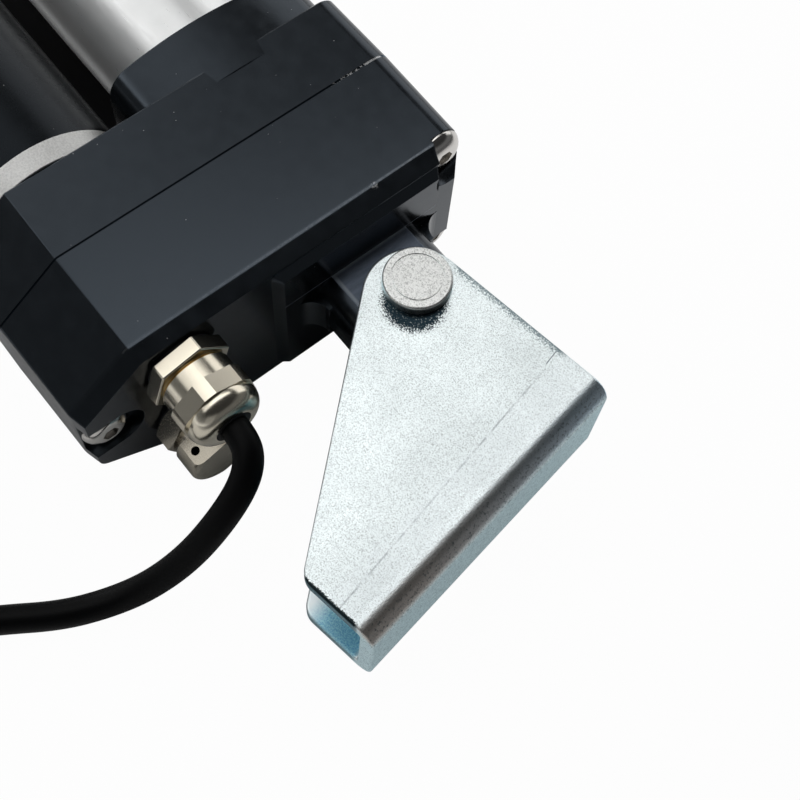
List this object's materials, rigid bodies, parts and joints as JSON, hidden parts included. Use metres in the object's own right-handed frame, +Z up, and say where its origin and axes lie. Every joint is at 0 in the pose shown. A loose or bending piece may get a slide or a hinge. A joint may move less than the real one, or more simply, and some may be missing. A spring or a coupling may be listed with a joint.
{
  "type": "linear actuator",
  "caption": "Waterproof electric linear actuator: black gearbox with motor beside the tube, extending rod with eye, swivelling zinc rear bracket, cable gland and lead.",
  "frame": {"origin": "middle of the footprint of the actuator without its cable, on the surface it lies on", "axes": "+X along the rod, the way it extends; +Y from the rod towards the motor; +Z up from the flat underside of the gearbox"},
  "size_m": [0.316, 0.2036, 0.0429],
  "materials": {
    "black_paint": "satin",
    "zinc": "satin",
    "steel": "satin",
    "aluminium": "satin",
    "nickel": "polished",
    "gear_bronze": "satin",
    "copper": "satin",
    "rubber": "matte",
    "cable_jacket": "matte",
    "nylon": "matte",
    "black_plastic": "matte",
    "board": "satin",
    "ferrite": "matte"
  },
  "bodies": {
    "gearbox": {"rear_housing": "black_paint", "front_housing": "black_paint", "housing_gasket": "rubber", "housing_screws": "steel", "rear_bearing_outer": "steel", "front_bearing_outer": "steel", "idler_shaft": "steel", "motor_magnets": "ferrite", "motor_brushes": "ferrite", "brush_plate": "black_plastic", "motor_end_ring": "aluminium", "motor_tube": "black_paint", "motor_end_cap": "black_paint", "outer_tube": "aluminium", "front_cap": "black_paint", "rod_guide_bush": "nylon", "wiper_seal": "rubber", "limit_switch_board": "board", "limit_switches": "black_plastic", "lug_bush": "gear_bronze", "gland_washer": "rubber", "gland_body": "nickel", "gland_cap": "nickel", "gland_insert": "rubber", "vent_washer": "rubber", "vent_body": "nickel", "vent_cap": "nickel", "cable_entry": "cable_jacket", "cable": "cable_jacket", "cable_coil": "cable_jacket", "cable_tail": "cable_jacket", "cable_connector": "black_plastic", "cable_tie": "black_plastic"},
    "rod": {"drive_nut": "nylon", "extension_rod": "aluminium", "rod_end_pin": "steel", "rod_end_eye": "aluminium"},
    "screw": {"lead_screw": "steel", "screw_lock_nut": "steel", "rear_bearing_inner": "steel", "front_bearing_inner": "steel", "screw_gear": "gear_bronze"},
    "idler": {"idler_gear": "gear_bronze"},
    "rotor": {"motor_pinion": "steel", "motor_shaft": "steel", "armature_core": "steel", "armature_windings": "copper", "commutator": "copper"},
    "bracket": {"rear_bracket": "zinc", "pivot_pin": "steel", "pin_clip": "steel", "pivot_washers": "nylon"}
  },
  "joints": [
    {"name": "rod_slide", "type": "slide", "parent": "gearbox", "child": "rod", "axis": [1, 0, 0], "range_m": [0, 0.1]},
    {"name": "screw_spin", "type": "hinge", "parent": "gearbox", "child": "screw", "pos_m": [-0.06592, -0.0211, 0.02143], "axis": [-1, 0, 0], "range_deg": [-5, 9014]},
    {"name": "idler_spin", "type": "hinge", "parent": "gearbox", "child": "idler", "pos_m": [-0.06592, 0.0039, 0.02143], "axis": [1, 0, 0], "range_deg": [-5, 19149.12]},
    {"name": "motor_spin", "type": "hinge", "parent": "gearbox", "child": "rotor", "pos_m": [-0.06592, 0.0244, 0.02143], "axis": [1, 0, 0], "range_deg": [-46269.97, 5]},
    {"name": "bracket_swivel", "type": "hinge", "parent": "gearbox", "child": "bracket", "pos_m": [-0.10712, -0.0211, 0.02143], "axis": [0, 0, 1], "range_deg": [-12, 80]}
  ],
  "couplings": [
    {"joint": "screw_spin", "follows": "rod_slide", "rad_per_m": 1570.8},
    {"joint": "idler_spin", "follows": "rod_slide", "rad_per_m": 3337.9},
    {"joint": "motor_spin", "follows": "rod_slide", "rad_per_m": -8066.7}
  ]
}
